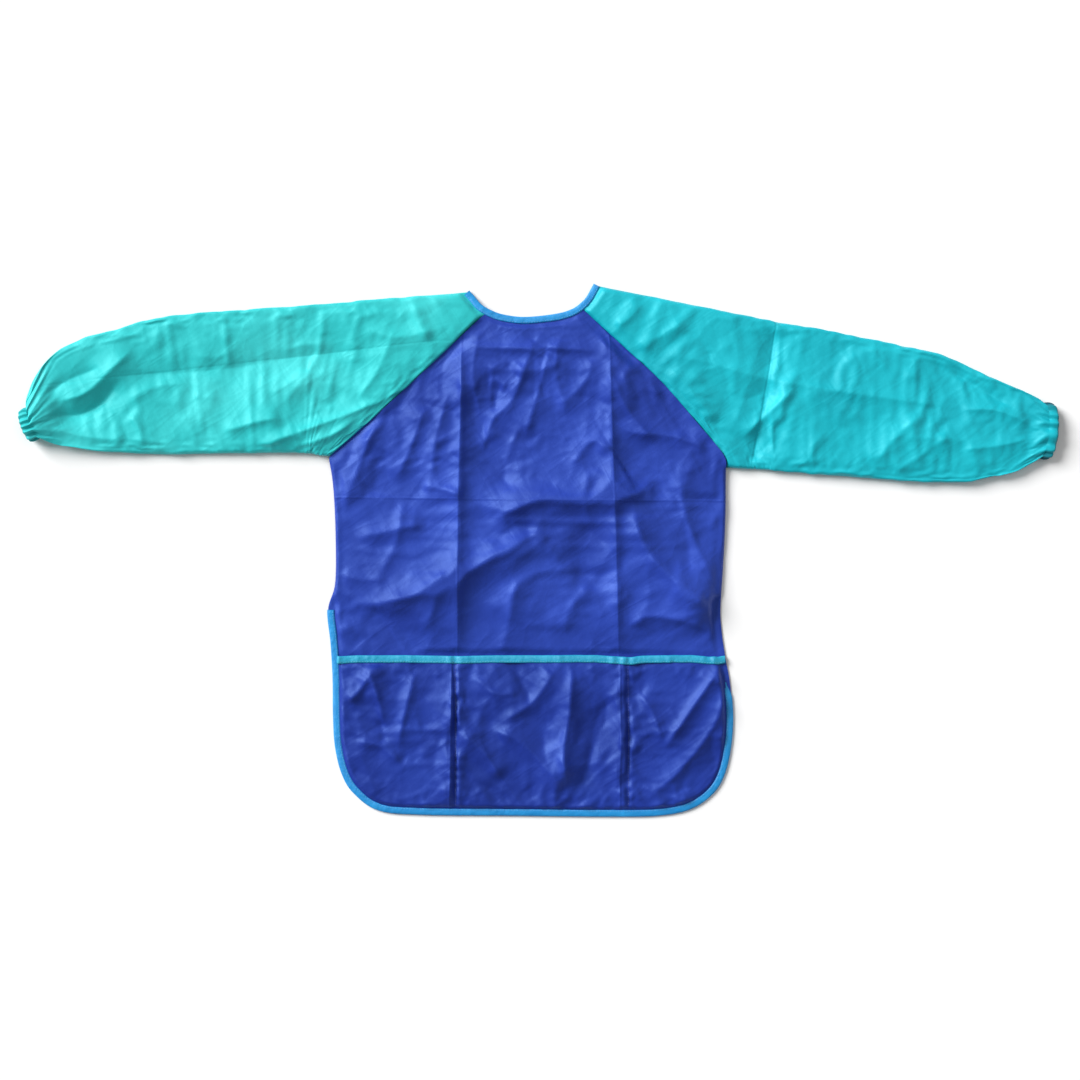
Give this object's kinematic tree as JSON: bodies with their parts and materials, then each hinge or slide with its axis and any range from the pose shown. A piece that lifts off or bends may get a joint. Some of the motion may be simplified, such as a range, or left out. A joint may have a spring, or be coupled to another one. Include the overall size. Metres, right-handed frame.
{
  "type": "child's artist smock apron",
  "caption": "Child's long-sleeved raglan art smock laid flat, front up: bound round neck, elastic cuffs, bound hem, low pocket in three compartments, open fastening back.",
  "frame": {"origin": "middle of the whole smock's outline, on the surface it lies on", "axes": "+Y towards the neck, +Z out of the front, +X to the side of the wearer's left arm, which is on the right when the front is looked at"},
  "size_m": [1.0909, 0.5609, 0.0273],
  "materials": {
    "blue_cloth": "coated nylon taffeta, royal blue, soft gloss",
    "turquoise_cloth": "coated nylon taffeta, turquoise, soft gloss",
    "blue_tape": "folded bias tape, sky blue, satin",
    "turquoise_tape": "folded bias tape, turquoise, satin",
    "blue_thread": "sewing thread, royal blue",
    "white_elastic": "braided rubber elastic, white",
    "hook_tape": "woven nylon tape with moulded hooks, dark blue",
    "loop_tape": "brushed nylon loop tape, dark blue"
  },
  "bodies": {
    "smock_body": {"front_panel": "blue_cloth", "pocket_panel": "blue_cloth", "pocket_binding": "turquoise_tape", "pocket_divider_left": "blue_thread", "pocket_divider_right": "blue_thread", "neck_binding": "blue_tape", "hem_binding": "blue_tape", "back_side_left": "blue_cloth", "back_side_right": "blue_cloth", "sleeve_shoulder_left": "turquoise_cloth", "sleeve_shoulder_right": "turquoise_cloth"},
    "left_arm": {"sleeve_arm_left": "turquoise_cloth", "cuff_casing_left": "turquoise_cloth", "cuff_elastic_left": "white_elastic"},
    "right_arm": {"sleeve_arm_right": "turquoise_cloth", "cuff_casing_right": "turquoise_cloth", "cuff_elastic_right": "white_elastic"},
    "left_back": {"back_flap_left": "blue_cloth", "back_binding_left": "blue_tape", "hook_strip": "hook_tape"},
    "right_back": {"back_flap_right": "blue_cloth", "back_binding_right": "blue_tape", "loop_strip": "loop_tape"}
  },
  "joints": [
    {"name": "left_sleeve_fold", "type": "hinge", "parent": "smock_body", "child": "left_arm", "pos_m": [-0.25, 0.18, 0.02], "axis": [0, 1, 0], "range_deg": [0, 176]},
    {"name": "right_sleeve_fold", "type": "hinge", "parent": "smock_body", "child": "right_arm", "pos_m": [0.25, 0.16, 0.02], "axis": [0, -1, 0], "range_deg": [0, 166]},
    {"name": "left_back_open", "type": "hinge", "parent": "smock_body", "child": "left_back", "pos_m": [-0.1393, 0.11675, 0], "axis": [0.4592, 0.8883, 0], "range_deg": [0, 170]},
    {"name": "right_back_open", "type": "hinge", "parent": "smock_body", "child": "right_back", "pos_m": [0.1192, 0.12025, 0], "axis": [0.4327, -0.9015, 0], "range_deg": [0, 170]}
  ]
}
